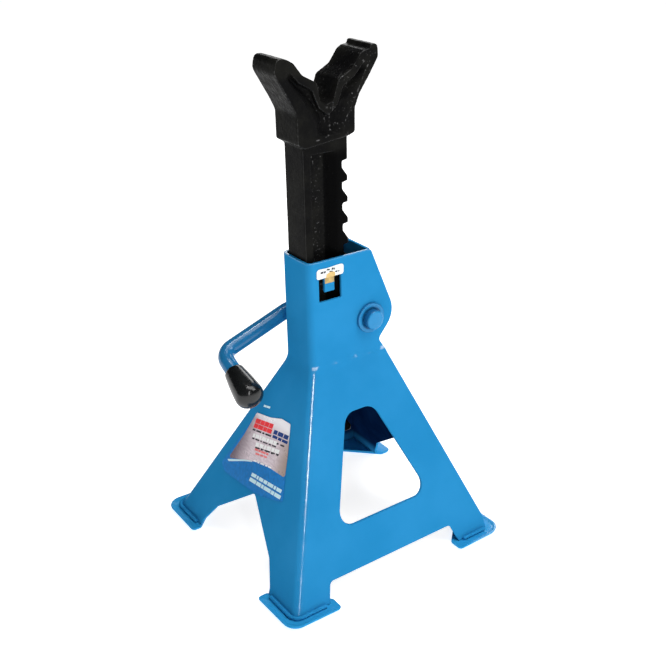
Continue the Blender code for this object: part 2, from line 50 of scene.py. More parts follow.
# Base
SHEET = 3.0 * MM
TOWER_TOP = 310.0 * MM
WAIST = 198.0 * MM
WAIST_SOFTNESS = 7.0 * MM
TOWER_FRONT = 34.1 * MM
TOWER_SIDE = 23.6 * MM
FOOT_FRONT = 120.4 * MM
FOOT_SIDE = 117.7 * MM
FOOT_REAR = 114.5 * MM
TOWER_REAR = 39.5 * MM
CORNER_RADIUS = 7.0 * MM
PAD_THICKNESS = 4.0 * MM
LEG_BOTTOM = PAD_THICKNESS + GAP

# Lever
PIVOT = Vector((36.5, 0.0, 238.0)) * MM
BAR_RADIUS = 8.0 * MM
BORE_RADIUS = BAR_RADIUS + GAP
BAR_NEAR_END = -32.0 * MM
WASHER_THICKNESS = 2.5 * MM
RUN_Y = 41.0 * MM
BEND_RADIUS = 14.0 * MM
CRANK = Vector((-19.6, 41.0, 238.0)) * MM
ELBOW = Vector((-95.1, 41.0, 211.4)) * MM
HANDLE_DIRECTION = Vector((-0.05, -0.93, -0.36)).normalized()
GRIP_START = 26.0 * MM
GRIP_LENGTH = 44.0 * MM

# Edges
BEVEL_SEGMENTS = 3
SHARP_EDGE = 0.55
SHEET_EDGE = 0.7 * MM

# Colours and glow
ENAMEL = (0.022, 0.255, 0.550)
# painted shade for the crevices round the lever's pivot
PAINTED_SHADE_ENAMEL = (0.007, 0.085, 0.22)
PALE_GLOW = 0.95
NEAR_GLOW = 0.82

PLANE_XY = Matrix.Identity(3)
PLANE_XZ = Matrix(((1, 0, 0), (0, 0, -1), (0, 1, 0)))
PLANE_YZ = Matrix(((0, 0, 1), (1, 0, 0), (0, 1, 0)))

SCENE = bpy.context.scene.collection
TOOLS = []


# ---------------------------------------------------------------- shapes

def rounded(corners, steps=6):
    """Turn corners (a, b, radius), all in millimetres, into an outline with arcs, in metres."""
    points = []
    for index, (a, b, radius) in enumerate(corners):
        here = Vector((a, b)) * MM
        before = Vector(corners[index - 1][:2]) * MM
        after = Vector(corners[(index + 1) % len(corners)][:2]) * MM
        if radius == 0:
            points.append(here)
            continue
        to_before = (before - here).normalized()
        to_after = (after - here).normalized()
        half = to_before.angle(to_after) / 2
        reach = radius * MM / tan(half)
        centre = here + (to_before + to_after).normalized() * radius * MM / sin(half)
        start = here + to_before * reach - centre
        end = here + to_after * reach - centre
        turn = start.angle_signed(end)
        for step in range(steps + 1):
            points.append(centre + Matrix.Rotation(-turn * step / steps, 2) @ start)
    return points


def circle(centre, radius):
    segments = 64
    return [Vector((centre[0] + radius * cos(2 * pi * i / segments),
                    centre[1] + radius * sin(2 * pi * i / segments))) for i in range(segments)]


def link(name, mesh):
    obj = bpy.data.objects.new(name, mesh)
    SCENE.objects.link(obj)
    return obj


def bake_modifiers(obj):
    """Replace an object's mesh by its evaluated one, so that later steps start from plain geometry."""
    bpy.context.view_layer.update()
    graph = bpy.context.evaluated_depsgraph_get()
    mesh = bpy.data.meshes.new_from_object(obj.evaluated_get(graph))
    obj.modifiers.clear()
    obj.data = mesh
    return obj


def plate(name, outlines, thickness, axes=PLANE_XY, origin=(0, 0, 0)):
    """A flat plate from closed outlines, the first one outside and the others as holes."""
    curve = bpy.data.curves.new(name, "CURVE")
    curve.dimensions = "2D"
    curve.fill_mode = "BOTH"
    curve.extrude = thickness / 2
    for outline in outlines:
        spline = curve.splines.new("POLY")
        spline.points.add(len(outline) - 1)
        for point, place in zip(spline.points, outline):
            point.co = (place[0], place[1], 0.0, 1.0)
        spline.use_cyclic_u = True
    return weld_curve(link(name, curve), Matrix.Translation(origin) @ axes.to_4x4())


def weld_curve(obj, matrix=None):
    """Turn a curve object into a welded mesh object of the same name with its transform applied."""
    bpy.context.view_layer.update()
    graph = bpy.context.evaluated_depsgraph_get()
    mesh = bpy.data.meshes.new_from_object(obj.evaluated_get(graph))
    work = bmesh.new()
    work.from_mesh(mesh)
    bmesh.ops.remove_doubles(work, verts=work.verts, dist=0.001 * MM)
    if matrix:
        work.transform(matrix)
    bmesh.ops.recalc_face_normals(work, faces=work.faces)
    work.to_mesh(mesh)
    work.free()
    name = obj.name
    bpy.data.objects.remove(obj, do_unlink=True)
    return link(name, mesh)


def stacked(name, rings):
    """A closed solid through rings of points of equal length, capped at the first and the last."""
    work = bmesh.new()
    loops = [[work.verts.new(point) for point in ring] for ring in rings]
    for low, high in zip(loops, loops[1:]):
        for i in range(len(low)):
            j = (i + 1) % len(low)
            work.faces.new((low[i], low[j], high[j], high[i]))
    work.faces.new(loops[0])
    work.faces.new(loops[-1])
    bmesh.ops.recalc_face_normals(work, faces=work.faces)
    mesh = bpy.data.meshes.new(name)
    work.to_mesh(mesh)
    work.free()
    return link(name, mesh)


def prism(name, outlines, low, high, axes):
    """A tool for a boolean: outlines extruded from low to high along the plane's normal."""
    obj = plate(name, outlines, high - low, axes, Vector(axes.col[2]) * (low + high) / 2)
    TOOLS.append(obj)
    return obj


def combine(target, tool, operation="DIFFERENCE"):
    modifier = target.modifiers.new(tool.name, "BOOLEAN")
    modifier.object = tool
    modifier.operation = operation
    modifier.solver = "EXACT"


def clear_tools():
    for obj in TOOLS:
        bpy.data.objects.remove(obj, do_unlink=True)
    TOOLS.clear()


def soften(obj, width):
    """Round every sharp edge and shade smooth."""
    bevel = obj.modifiers.new("round", "BEVEL")
    bevel.width = width
    bevel.segments = BEVEL_SEGMENTS
    bevel.limit_method = "ANGLE"
    bevel.angle_limit = SHARP_EDGE
    bevel.use_clamp_overlap = False
    bevel.harden_normals = True
    bevel.miter_outer = "MITER_ARC"
    obj.data.shade_smooth()
    return obj


def tube(name, path, radius, resolution):
    """A round bar with filled ends along a list of points."""
    curve = bpy.data.curves.new(name, "CURVE")
    curve.dimensions = "3D"
    curve.bevel_depth = radius
    curve.bevel_resolution = resolution
    curve.use_fill_caps = True
    spline = curve.splines.new("POLY")
    spline.points.add(len(path) - 1)
    for point, place in zip(spline.points, path):
        point.co = (*place, 1.0)
    return weld_curve(link(name, curve))


def turned(name, profile):
    """A turned solid about local Z from a profile of (radius, height) that runs down its outer side."""
    mesh = bpy.data.meshes.new(name)
    points = [(radius, 0.0, height) for radius, height in profile]
    mesh.from_pydata(points, [(i, i + 1) for i in range(len(points) - 1)], [])
    obj = link(name, mesh)
    screw = obj.modifiers.new("turn", "SCREW")
    screw.steps = screw.render_steps = 64
    screw.use_merge_vertices = True
    screw.merge_threshold = 0.01 * MM
    return bake_modifiers(obj)


def stand_along(obj, origin, direction):
    """Apply a placement that puts local Z along a direction."""
    turn = Vector((0, 0, 1)).rotation_difference(direction).to_matrix().to_4x4()
    obj.data.transform(Matrix.Translation(origin) @ turn)
    return obj


def fillet_path(corners, radius, steps):
    """A 3-D path through corners whose inner corners are rounded to one radius."""
    path = [corners[0]]
    for before, here, after in zip(corners, corners[1:], corners[2:]):
        to_before = (before - here).normalized()
        to_after = (after - here).normalized()
        half = to_before.angle(to_after) / 2
        centre = here + (to_before + to_after).normalized() * radius / sin(half)
        start = here + to_before * radius / tan(half) - centre
        end = here + to_after * radius / tan(half) - centre
        span = start.angle(end)
        for step in range(steps + 1):
            share = step / steps
            path.append(centre + (start * sin((1 - share) * span) + end * sin(share * span)) / sin(span))
    path.append(corners[-1])
    return path


# ---------------------------------------------------------------- base

def flare(top, foot, z):
    """Distance of a base face from the axis at height z: upright above the waist, leaning out below it."""
    slope = (foot - top) / (WAIST - LEG_BOTTOM)
    drop = WAIST - z
    if drop <= -WAIST_SOFTNESS:
        return top
    if drop >= WAIST_SOFTNESS:
        return top + slope * drop
    return top + slope * (drop + WAIST_SOFTNESS) ** 2 / (4 * WAIST_SOFTNESS)


def shell_levels(top):
    bend = [WAIST + WAIST_SOFTNESS * (step / 5 - 1) for step in range(11)]
    return [-6 * MM] + bend + [top]


def shell_section(z, reach):
    """The base's U-shaped section at height z, open towards +X, from the near side to the far side."""
    front = -flare(TOWER_FRONT, FOOT_FRONT, z)
    side = flare(TOWER_SIDE, FOOT_SIDE, z)
    steps = 10
    arc = []
    for step in range(steps + 1):
        angle = pi / 2 * step / steps
        arc.append((front + CORNER_RADIUS * (1 - sin(angle)), -(side - CORNER_RADIUS * (1 - cos(angle)))))
    mirrored = [(x, -y) for x, y in reversed(arc)]
    return [(reach, -side)] + arc + mirrored + [(reach, side)]


def lofted_sheet(name, sections):
    """An open sheet through sections of equal length, thickened inwards and painted on each face."""
    work = bmesh.new()
    rings = [[work.verts.new(point) for point in section] for section in sections]
    for low, high in zip(rings, rings[1:]):
        for i in range(len(low) - 1):
            work.faces.new((low[i + 1], low[i], high[i], high[i + 1]))
    mesh = bpy.data.meshes.new(name)
    work.to_mesh(mesh)
    work.free()
    obj = link(name, mesh)
    solidify = obj.modifiers.new("sheet", "SOLIDIFY")
    solidify.thickness = SHEET
    solidify.offset = -1
    solidify.use_even_offset = True
    solidify.material_offset = 1
    obj.data.materials.append(SHELL_BLUE)
    # the inner faces take the painted shade of the base's inside
    obj.data.materials.append(INNER_SHADE)
    return obj


def side_outline():
    bottom = LEG_BOTTOM / MM
    return rounded([(-160, bottom, 0), (118.3, bottom, 1), (118.3, 17, 8), (55.8, 198, 4), (47.6, 211, 5),
                    (68.6, 235.8, 26), (38.6, 310, 5), (-160, 310, 0)])


def side_window():
    return rounded([(-51.2, 59.3, 12), (60.9, 59.3, 12), (23.7, 153.5, 15), (-9.3, 153.5, 15)], steps=12)


def side_arch():
    return rounded([(-84, -5, 0), (-74.5, 21.5, 5), (75.0, 21.5, 5), (84, -5, 0)])


def front_arch():
    return rounded([(-72, -5, 0), (-68, 10, 6), (-53, 31, 8), (0, 69.5, 4), (53, 31, 8), (68, 10, 6),
                    (72, -5, 0)])


def front_shell():
    levels = shell_levels(TOWER_TOP + 6 * MM)
    sections = [[(x, y, z) for x, y in shell_section(z, 130 * MM)] for z in levels]
    shell = lofted_sheet("front_shell_steel", sections)
    wide = 150 * MM
    combine(shell, prism("silhouette", [side_outline()], -wide, wide, PLANE_XZ), "INTERSECT")
    combine(shell, prism("windows", [side_window()], -wide, wide, PLANE_XZ))
    combine(shell, prism("arches", [side_arch()], -wide, wide, PLANE_XZ))
    combine(shell, prism("front_arch", [front_arch()], -wide, -60 * MM, PLANE_YZ))
    combine(shell, prism("bores", [circle((PIVOT.x, PIVOT.z), BORE_RADIUS)], -40 * MM, 40 * MM, PLANE_XZ))
    slot = rounded([(-22.3, 268.6, 1), (3.1, 268.6, 1), (3.1, 297.0, 1), (-22.3, 297.0, 1)], steps=3)
    combine(shell, prism("slots", [slot], -40 * MM, 40 * MM, PLANE_XZ))
    for side in (-1, 1):
        combine(shell, stop_tab(side), "UNION")
    bake_modifiers(shell)
    clear_tools()
    return soften(shell, SHEET_EDGE)


def stop_tab(side):
    """A tongue lanced from a tower side and set in by a joggle, so that it runs in the column's pocket."""
    profile = [(23.3, 298.2), (23.3, 296.8), (20.9, 291.6), (20.9, 276.6), (18.0, 276.6), (18.0, 292.3),
               (20.6, 297.4), (20.6, 298.2)]
    outline = [Vector((side * y, z)) * MM for y, z in profile]
    return prism("stop_tab", [outline], -14.4 * MM, -2.9 * MM, PLANE_YZ)


def rear_panel():
    inset = SHEET / cos(atan2(FOOT_SIDE - TOWER_SIDE, WAIST)) + GAP
    sections = []
    for z in shell_levels(219 * MM):
        rear = flare(TOWER_REAR, FOOT_REAR, z)
        side = flare(TOWER_SIDE, FOOT_SIDE, z) - inset
        sections.append([(rear, side, z), (rear, -side, z)])
    panel = lofted_sheet("rear_panel_steel", sections)
    level = [Vector((x * MM, z * MM)) for x, z in ((30, 4.3), (160, 4.3), (160, 240), (30, 240))]
    combine(panel, prism("trim", [level], -150 * MM, 150 * MM, PLANE_XZ), "INTERSECT")
    combine(panel, prism("rear_arch", [front_arch()], 50 * MM, 150 * MM, PLANE_YZ))
    bake_modifiers(panel)
    clear_tools()
    return soften(panel, SHEET_EDGE)


def pad_ring(inset, height, topside):
    """One outline of a pad, drawn in by an inset; its outer edges rise to a height, both in millimetres."""
    reach_x, reach_y = 131.5 - inset, 128.5 - inset
    end = 74 + 0.5 * inset
    side = 67 + 0.5 * inset
    corners = [(reach_x, reach_y, 15 - inset), (end, reach_y, 4.5 - 0.4 * inset),
               (end, 113, 4), (121 - 0.3 * inset, side, 4), (reach_x, side, 4 - 0.4 * inset)]
    flat = PAD_THICKNESS if topside else 0.69 * height * MM
    ring = []
    for point in rounded(corners, steps=10):
        rise = min((point.x / MM - 76) / 10, (point.y / MM - 69) / 10)
        rise = max(0.0, min(1.0, rise))
        ring.append(Vector((point.x, point.y, flat + (height * MM - flat) * rise)))
    return ring


def foot_pad(name, sx, sy):
    """A pressed pad whose outer edges curl up from the floor."""
    under = [(7.5, 0.0), (6.4, 0.05), (4.6, 0.4), (3.2, 0.9), (2.0, 1.6), (1.1, 2.5), (0.5, 3.4),
             (0.0, 5.0)]
    over = [(0.15, 5.4), (0.7, 5.7), (1.3, 5.65), (2.2, 5.3), (3.2, 4.8), (4.4, 4.35), (5.6, 4.1),
            (7.0, 4.0)]
    rings = [pad_ring(inset, height, False) for inset, height in under]
    rings += [pad_ring(inset, height, True) for inset, height in over]
    placed = [[Vector((sx * point.x, sy * point.y, point.z)) for point in ring] for ring in rings]
    pad = stacked(name, placed)
    pad.data.shade_smooth()
    pad.data.set_sharp_from_angle(angle=0.7)
    return pad


# ---------------------------------------------------------------- cast column and weld beads

def voxel_skin(node, name, voxel, rounds):
    """A skin from a CAD solid: voxel remeshed and relaxed, so that every edge gets a soft radius."""
    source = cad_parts[node]
    obj = link(name, source.data.copy())
    obj.data.materials.clear()
    remesh = obj.modifiers.new("remesh", "REMESH")
    remesh.mode = "VOXEL"
    remesh.voxel_size = voxel
    smooth = obj.modifiers.new("relax", "SMOOTH")
    smooth.factor = 0.5
    smooth.iterations = rounds
    bake_modifiers(obj)
    obj.data.shade_smooth()
    return obj


def roughen_column(obj):
    """Foundry texture in real geometry: low waves, grain on the saddle, coarse grain in the side pockets."""
    pocket_wall, pocket_front, pocket_back = 11.5 * MM, -24 * MM, 2 * MM
    saddle_foot = 424 * MM
    pocket_grain, saddle_grain = 0.32 * MM, 0.10 * MM
    for vertex, normal in zip(obj.data.vertices, [v.normal.copy() for v in obj.data.vertices]):
        place = vertex.co
        height = 0.10 * MM * noise.noise(place * 90) + 0.05 * MM * noise.noise(place * 260)
        inside = abs(place.y) < pocket_wall and pocket_front < place.x < pocket_back and abs(normal.y) > 0.7
        if inside or place.z > saddle_foot:
            grain = noise.fractal(place * 420, 0.6, 2.0, 3)
            height += (pocket_grain if inside else saddle_grain) * grain
        vertex.co += normal * height


# ---------------------------------------------------------------- lever and small pieces

def lever_bar():
    turn = Vector((PIVOT.x, RUN_Y, PIVOT.z))
    end = ELBOW + HANDLE_DIRECTION * (GRIP_START + GRIP_LENGTH - 6 * MM)
    corners = [Vector((PIVOT.x, BAR_NEAR_END, PIVOT.z)), turn, CRANK, ELBOW, end]
    return tube("lever_bar_steel", fillet_path(corners, BEND_RADIUS, 16), BAR_RADIUS, 12)


def lever_grip():
    """A moulded sleeve: flared lip, swelling body and domed end, with a blind bore for the bar."""
    dome = 11.0 * MM
    profile = [(14.0 * MM * sin(pi / 24 * step), GRIP_LENGTH - dome + dome * cos(pi / 24 * step))
               for step in range(13)]
    profile += [(13.9 * MM, 29.5 * MM), (13.5 * MM, 25 * MM), (12.7 * MM, 18 * MM), (11.6 * MM, 10.5 * MM),
                (10.7 * MM, 5 * MM), (10.3 * MM, 2.6 * MM), (10.1 * MM, 1.4 * MM), (9.8 * MM, 0.5 * MM),
                (9.3 * MM, 0.05 * MM), (BORE_RADIUS + 0.3 * MM, 0.05 * MM), (BORE_RADIUS, 0.4 * MM),
                (BORE_RADIUS, GRIP_LENGTH - 5.5 * MM), (0.0, GRIP_LENGTH - 5.5 * MM)]
    grip = turned("lever_grip_moulding", profile)
    stand_along(grip, ELBOW + HANDLE_DIRECTION * GRIP_START, HANDLE_DIRECTION)
    grip.data.shade_smooth()
    grip.data.set_sharp_from_angle(angle=0.9)
    return grip


def washer(name, side):
    """A pressed washer with a rolled outer edge and a chamfered bore."""
    outer = 15.6 * MM
    edge = 0.7 * MM
    top = WASHER_THICKNESS
    profile = [(BORE_RADIUS, 0.0), (BORE_RADIUS, top - edge), (BORE_RADIUS + edge, top)]
    profile += [(outer - edge + edge * sin(pi / 8 * step), top - edge + edge * cos(pi / 8 * step))
                for step in range(5)]
    profile += [(outer, 0.0), (BORE_RADIUS, 0.0)]
    ring = turned(name, profile[::-1])
    stand_along(ring, Vector((PIVOT.x, side * (TOWER_SIDE + GAP), PIVOT.z)), Vector((0, side, 0)))
    ring.data.shade_smooth()
    ring.data.set_sharp_from_angle(angle=0.9)
    return ring


def end_cap():
    """A push-on cap with a nearly flat face, a rolled shoulder and a small chamfer round its mouth."""
    radius = 10.0 * MM
    shoulder = 2.2 * MM
    face = 7.6 * MM
    inside = 5.7 * MM
    profile = [(0.0, 8.0 * MM), (4.0 * MM, 7.9 * MM)]
    profile += [(radius - shoulder + shoulder * sin(pi / 16 * step),
                 face - shoulder + shoulder * cos(pi / 16 * step)) for step in range(9)]
    profile += [(radius, 0.6 * MM), (radius - 0.3 * MM, 0.1 * MM), (radius - 0.8 * MM, 0.0),
                (BORE_RADIUS, 0.0), (BORE_RADIUS, inside), (0.0, inside)]
    cap = turned("end_cap_pressing", profile)
    seat = -(TOWER_SIDE + WASHER_THICKNESS + 2 * GAP)
    stand_along(cap, Vector((PIVOT.x, seat, PIVOT.z)), Vector((0, -1, 0)))
    cap.data.shade_smooth()
    cap.data.set_sharp_from_angle(angle=0.9)
    return cap


def softened_copy(node, name, width):
    """A CAD solid with rounded edges, for the plates and the pawl."""
    obj = link(name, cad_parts[node].data.copy())
    obj.data.materials.clear()
    work = bmesh.new()
    work.from_mesh(obj.data)
    bmesh.ops.remove_doubles(work, verts=work.verts, dist=0.001 * MM)
    bmesh.ops.dissolve_limit(work, angle_limit=0.02, verts=work.verts, edges=work.edges)
    work.to_mesh(obj.data)
    work.free()
    return soften(obj, width)


def weld_bead(node, name, seed):
    """A fillet bead with the ripples of each pass, grown until its toes sink into both plates."""
    growth = 0.42 * MM
    obj = voxel_skin(node, name, 0.45 * MM, 3)
    for vertex, normal in zip(obj.data.vertices, [v.normal.copy() for v in obj.data.vertices]):
        place = vertex.co
        run = place.x + place.y * 1.07 + place.z * 0.93
        ripple = 0.16 * MM * sin(run * 1900 + 2.2 * noise.noise(place * 150 + Vector((seed, 0, 0))))
        lump = 0.22 * MM * noise.noise(place * 210 + Vector((0, seed, 0)))
        vertex.co += normal * (growth + ripple + lump)
    return obj


# ---------------------------------------------------------------- label and sticker

def label_frame(height):
    """Axes and origin on the leaning front face: x to the viewer's right, y up the slope, z outward.

    The origin is on the waist's line, raised off the face by the height.
    """
    up = Vector((FOOT_FRONT - TOWER_FRONT, 0, WAIST - LEG_BOTTOM)).normalized()
    across = Vector((0, -1, 0))
    outward = across.cross(up)
    axes = Matrix((across, up, outward)).transposed()
    return axes, Vector((-TOWER_FRONT, 0, WAIST)) + outward * height


def film(name, outlines, low, high):
    """A thin layer on the front face between two heights in millimetres above the paint."""
    axes, origin = label_frame((low + high) / 2 * MM)
    return plate(name, outlines, (high - low) * MM, axes, origin)


def broken_bar(start, end, thickness, lengths, gap=0.9, skew=0.12):
    """Islands along a line: short strokes of the given lengths with gaps, all in millimetres."""
    start, end = Vector(start), Vector(end)
    along = (end - start).normalized()
    across = Vector((-along.y, along.x)) * thickness / 2
    scale = ((end - start).length - gap * (len(lengths) - 1)) / sum(lengths)
    place = 0.0
    islands = []
    for length in lengths:
        low = start + along * place
        high = start + along * (place + length * scale)
        lean = along * thickness * skew
        islands.append([point * MM for point in (low - across - lean, high - across - lean,
                                                 high + across + lean, low + across + lean)])
        place += length * scale + gap
    return islands


def front_label():
    """A label without lettering: a silver panel on a blue band, with broken bars for its printed lines."""
    band = rounded([(-38, -70.5, 3), (17.7, -54.9, 3), (46.6, -126.9, 3), (6, -139.6, 90),
                    (-58, -144.5, 12), (-68, -138.5, 3)], steps=8)
    panel = rounded([(-37.5, -68.5, 2.5), (-13, -63.5, 20), (4, -57.3, 12), (19.4, -56.2, 2.0),
                     (30.5, -83.5, 90), (37.5, -105.2, 3.0), (-4.3, -108.6, 60), (-59.5, -129.2, 2.0),
                     (-46.5, -97.5, 90)], steps=8)
    swoosh = rounded([(-60.5, -131.2, 0.5), (-30, -117.6, 60), (-18.8, -113.9, 0.5), (-19.5, -115.2, 0.5),
                      (-32, -120.2, 60), (-57, -132.2, 0.5)], steps=6)
    red = broken_bar((-35.2, -76.2), (-5.2, -69.9), 5.0, (9, 7, 8, 7), 0.35)
    red += broken_bar((-35.4, -81.6), (-4.6, -75.2), 4.6, (7, 9, 6, 8), 0.35)
    dark = broken_bar((-1.6, -73.6), (23.0, -69.4), 4.4, (5, 7, 6), 1.1)
    dark += broken_bar((-1.0, -78.2), (24.4, -74.0), 3.0, (7, 5, 8), 1.1)
    shade = broken_bar((-35.4, -86.2), (-3.4, -79.4), 1.8, (4, 7, 3, 8), 1.6)
    shade += broken_bar((3.5, -82.8), (21.5, -79.2), 1.7, (5, 4), 3.0)
    shade += broken_bar((-31.6, -94.2), (9.4, -85.2), 1.5, (3, 5, 2, 6, 3, 5), 1.7)
    shade += broken_bar((-22.0, -100.2), (17.4, -90.2), 1.6, (5, 3, 6, 4, 3), 1.7)
    shade += broken_bar((-12.0, -96.9), (16.4, -89.7), 4.2, (0.5, 0.5, 0.7, 0.5), 7.0)
    white = broken_bar((-31.8, -90.9), (8.6, -82.1), 4.0, (3, 5, 2.5, 6, 3, 5, 4), 1.0)
    white += broken_bar((-22.6, -97.0), (16.6, -87.4), 4.2, (4, 4.5, 2.5, 5, 3, 5), 1.1)
    white += broken_bar((-17.5, -112.6), (12.8, -106.3), 1.5, (3, 2, 4, 2, 3), 1.5)
    pink = broken_bar((-21.6, -102.0), (1.6, -97.0), 2.2, (3, 2, 4, 2), 0.9)
    pink += broken_bar((-18.4, -105.3), (1.0, -100.6), 1.9, (4, 3, 3), 1.1)
    pale = broken_bar((-13.6, -125.9), (39.2, -118.9), 3.7, (7, 2.6, 6, 5, 8, 3, 7), 1.2)
    pale += broken_bar((-14.2, -131.4), (40.8, -124.6), 3.9, (9, 6, 3, 9, 4, 8), 0.9)
    rim = film("label_panel_rim", [panel], 0.50, 0.53)
    layers = [(film("front_label_band", [band], 0.30, 0.50), BAND),
              (rim, SILVER),
              (film("label_swoosh", [swoosh], 0.51, 0.55), PALE_INK),
              (film("label_red_marks", red, 0.54, 0.58), RED_INK),
              (film("label_navy_marks", dark, 0.54, 0.58), NAVY_INK),
              (film("label_shadow_marks", shade, 0.54, 0.57), DARK_INK),
              (film("label_white_marks", white, 0.57, 0.60), WHITE_INK),
              (film("label_pink_marks", pink, 0.54, 0.58), PINK_INK),
              (film("label_pale_marks", pale, 0.51, 0.55), PALE_INK)]
    dash = broken_bar((-30.8, -58.0), (-20.2, -55.6), 2.1, (4, 5), 0.5)
    layers.append((film("label_dash_marks", dash, 0.02, 0.10), PALE_INK))
    return layers


def throat_sticker():
    """A sticker without lettering: dashes and an amber patch, whose tail wraps over the slot's edge."""
    def layer(name, outlines, low, high):
        depth = -(TOWER_SIDE + (low + high) / 2 * MM)
        return plate(name, outlines, (high - low) * MM, PLANE_XZ, (0, depth, 0))

    paper = rounded([(-25.2, 292.7, 2.5), (-12, 293.1, 20), (5.4, 292.7, 2.5), (5.9, 303.3, 3.2),
                     (-2, 303.2, 20), (-13.5, 302.4, 12), (-24.9, 303.1, 3.2)], steps=8)
    marks = broken_bar((-20.6, 299.2), (-14.8, 298.9), 2.0, (3, 2), 0.6)
    marks += broken_bar((-13.6, 301.0), (-10.2, 300.4), 1.5, (2,), 0.6)
    marks += broken_bar((-8.0, 300.6), (-4.2, 300.0), 2.0, (2, 1), 0.5)
    marks += broken_bar((-4.0, 297.0), (0.6, 296.6), 1.3, (2, 1), 0.8)
    marks += broken_bar((-10.6, 298.6), (-7.0, 298.0), 1.0, (1,), 0.8)
    amber = rounded([(-14.6, 292.8, 0.6), (-4.0, 292.8, 0.6), (-4.4, 297.0, 1.5), (-9.4, 298.2, 2.0),
                     (-14.2, 296.0, 1.5)], steps=5)
    tail = [Vector((y, z)) * MM for y, z in ((-23.95, 292.9), (-21.05, 290.9), (-21.0, 285.4),
                                              (-20.93, 285.4), (-20.95, 291.4), (-23.65, 292.9))]
    wrap = plate("throat_sticker_tail", [tail], 10.6 * MM, PLANE_YZ, (-8.65 * MM, 0, 0))
    return [(layer("throat_sticker_paper", [paper], 0.30, 0.55), PAPER),
            (layer("sticker_marks", marks, 0.56, 0.60), DARK_INK),
            (layer("sticker_amber_patch", [amber], 0.555, 0.58), AMBER_INK),
            (wrap, AMBER_INK)]


# ---------------------------------------------------------------- materials

class Looks:
    """A small helper that builds one material's node tree."""

    def __init__(self, name, colour, roughness, metallic=0.0):
        self.material = bpy.data.materials.new(name)
        self.material.use_nodes = True
        self.nodes = self.material.node_tree.nodes
        self.links = self.material.node_tree.links
        self.shader = self.nodes["Principled BSDF"]
        self.shader.inputs["Base Color"].default_value = (*colour, 1.0)
        self.shader.inputs["Roughness"].default_value = roughness
        self.shader.inputs["Metallic"].default_value = metallic
        self.coordinate = self.nodes.new("ShaderNodeTexCoord").outputs["Object"]
        self.height = None

    def set(self, **values):
        for key, value in values.items():
            self.shader.inputs[key.replace("_", " ")].default_value = value

    def join(self, source, target):
        self.links.new(source, target)

    def noise(self, scale, detail=3.0, roughness=0.5, stretch=None):
        node = self.nodes.new("ShaderNodeTexNoise")
        node.inputs["Scale"].default_value = scale
        node.inputs["Detail"].default_value = detail
        node.inputs["Roughness"].default_value = roughness
        if stretch:
            mapping = self.nodes.new("ShaderNodeMapping")
            mapping.inputs["Scale"].default_value = stretch
            self.join(self.coordinate, mapping.inputs["Vector"])
            self.join(mapping.outputs["Vector"], node.inputs["Vector"])
        else:
            self.join(self.coordinate, node.inputs["Vector"])
        return node.outputs["Fac"]

    def math(self, operation, a, b=None, c=None, clamp=False):
        node = self.nodes.new("ShaderNodeMath")
        node.operation = operation
        node.use_clamp = clamp
        for socket, value in zip(node.inputs, (a, b, c)):
            if value is None:
                continue
            if isinstance(value, (int, float)):
                socket.default_value = value
            else:
                self.join(value, socket)
        return node.outputs[0]

    def ramp(self, value, low, high, out_low=0.0, out_high=1.0):
        node = self.nodes.new("ShaderNodeMapRange")
        node.interpolation_type = "SMOOTHSTEP"
        node.inputs["From Min"].default_value = low
        node.inputs["From Max"].default_value = high
        node.inputs["To Min"].default_value = out_low
        node.inputs["To Max"].default_value = out_high
        self.join(value, node.inputs["Value"])
        return node.outputs["Result"]

    def mix(self, factor, first, second):
        node = self.nodes.new("ShaderNodeMix")
        node.data_type = "RGBA"
        sockets = node.inputs
        for socket, value in ((sockets["Factor"], factor), (sockets[6], first), (sockets[7], second)):
            if isinstance(value, (int, float)):
                socket.default_value = value
            elif isinstance(value, tuple):
                socket.default_value = (*value, 1.0)
            else:
                self.join(value, socket)
        return node.outputs[2]

    def colour(self, value):
        self.join(value, self.shader.inputs["Base Color"])

    def rough(self, value):
        self.join(value, self.shader.inputs["Roughness"])

    def bump(self, height, distance, strength=1.0):
        node = self.nodes.new("ShaderNodeBump")
        node.inputs["Distance"].default_value = distance
        node.inputs["Strength"].default_value = strength
        self.join(height, node.inputs["Height"])
        if self.height:
            self.join(self.height, node.inputs["Normal"])
        self.height = node.outputs["Normal"]
        self.join(self.height, self.shader.inputs["Normal"])

    def product(self, *values):
        result = values[0]
        for value in values[1:]:
            result = self.math("MULTIPLY", result, value)
        return result

    def away(self, value, middle):
        """How far a value is from its middle, on either side."""
        return self.math("ABSOLUTE", self.math("SUBTRACT", value, middle))

    def vector(self, operation, first, second=None, output="Vector"):
        """A vector operation on linked sockets or plain vectors."""
        node = self.nodes.new("ShaderNodeVectorMath")
        node.operation = operation
        for socket, value in zip(node.inputs, (first, second)):
            if isinstance(value, bpy.types.NodeSocket):
                self.join(value, socket)
            elif value is not None:
                socket.default_value = value
        return node.outputs[output]

    def edges(self, low, high):
        """1 on convex edges, from the mesh's pointiness."""
        node = self.nodes.new("ShaderNodeNewGeometry")
        return self.ramp(node.outputs["Pointiness"], low, high)

    def place(self, axis):
        node = self.nodes.new("ShaderNodeSeparateXYZ")
        self.join(self.coordinate, node.inputs[0])
        return node.outputs[axis]

    def face(self, top, foot):
        """Distance of a base face from the axis at each point's height, as in flare with a sharp waist."""
        drop = self.math("MAXIMUM", self.math("SUBTRACT", WAIST, self.place(2)), 0.0)
        return self.math("MULTIPLY_ADD", drop, (foot - top) / (WAIST - LEG_BOTTOM), top)


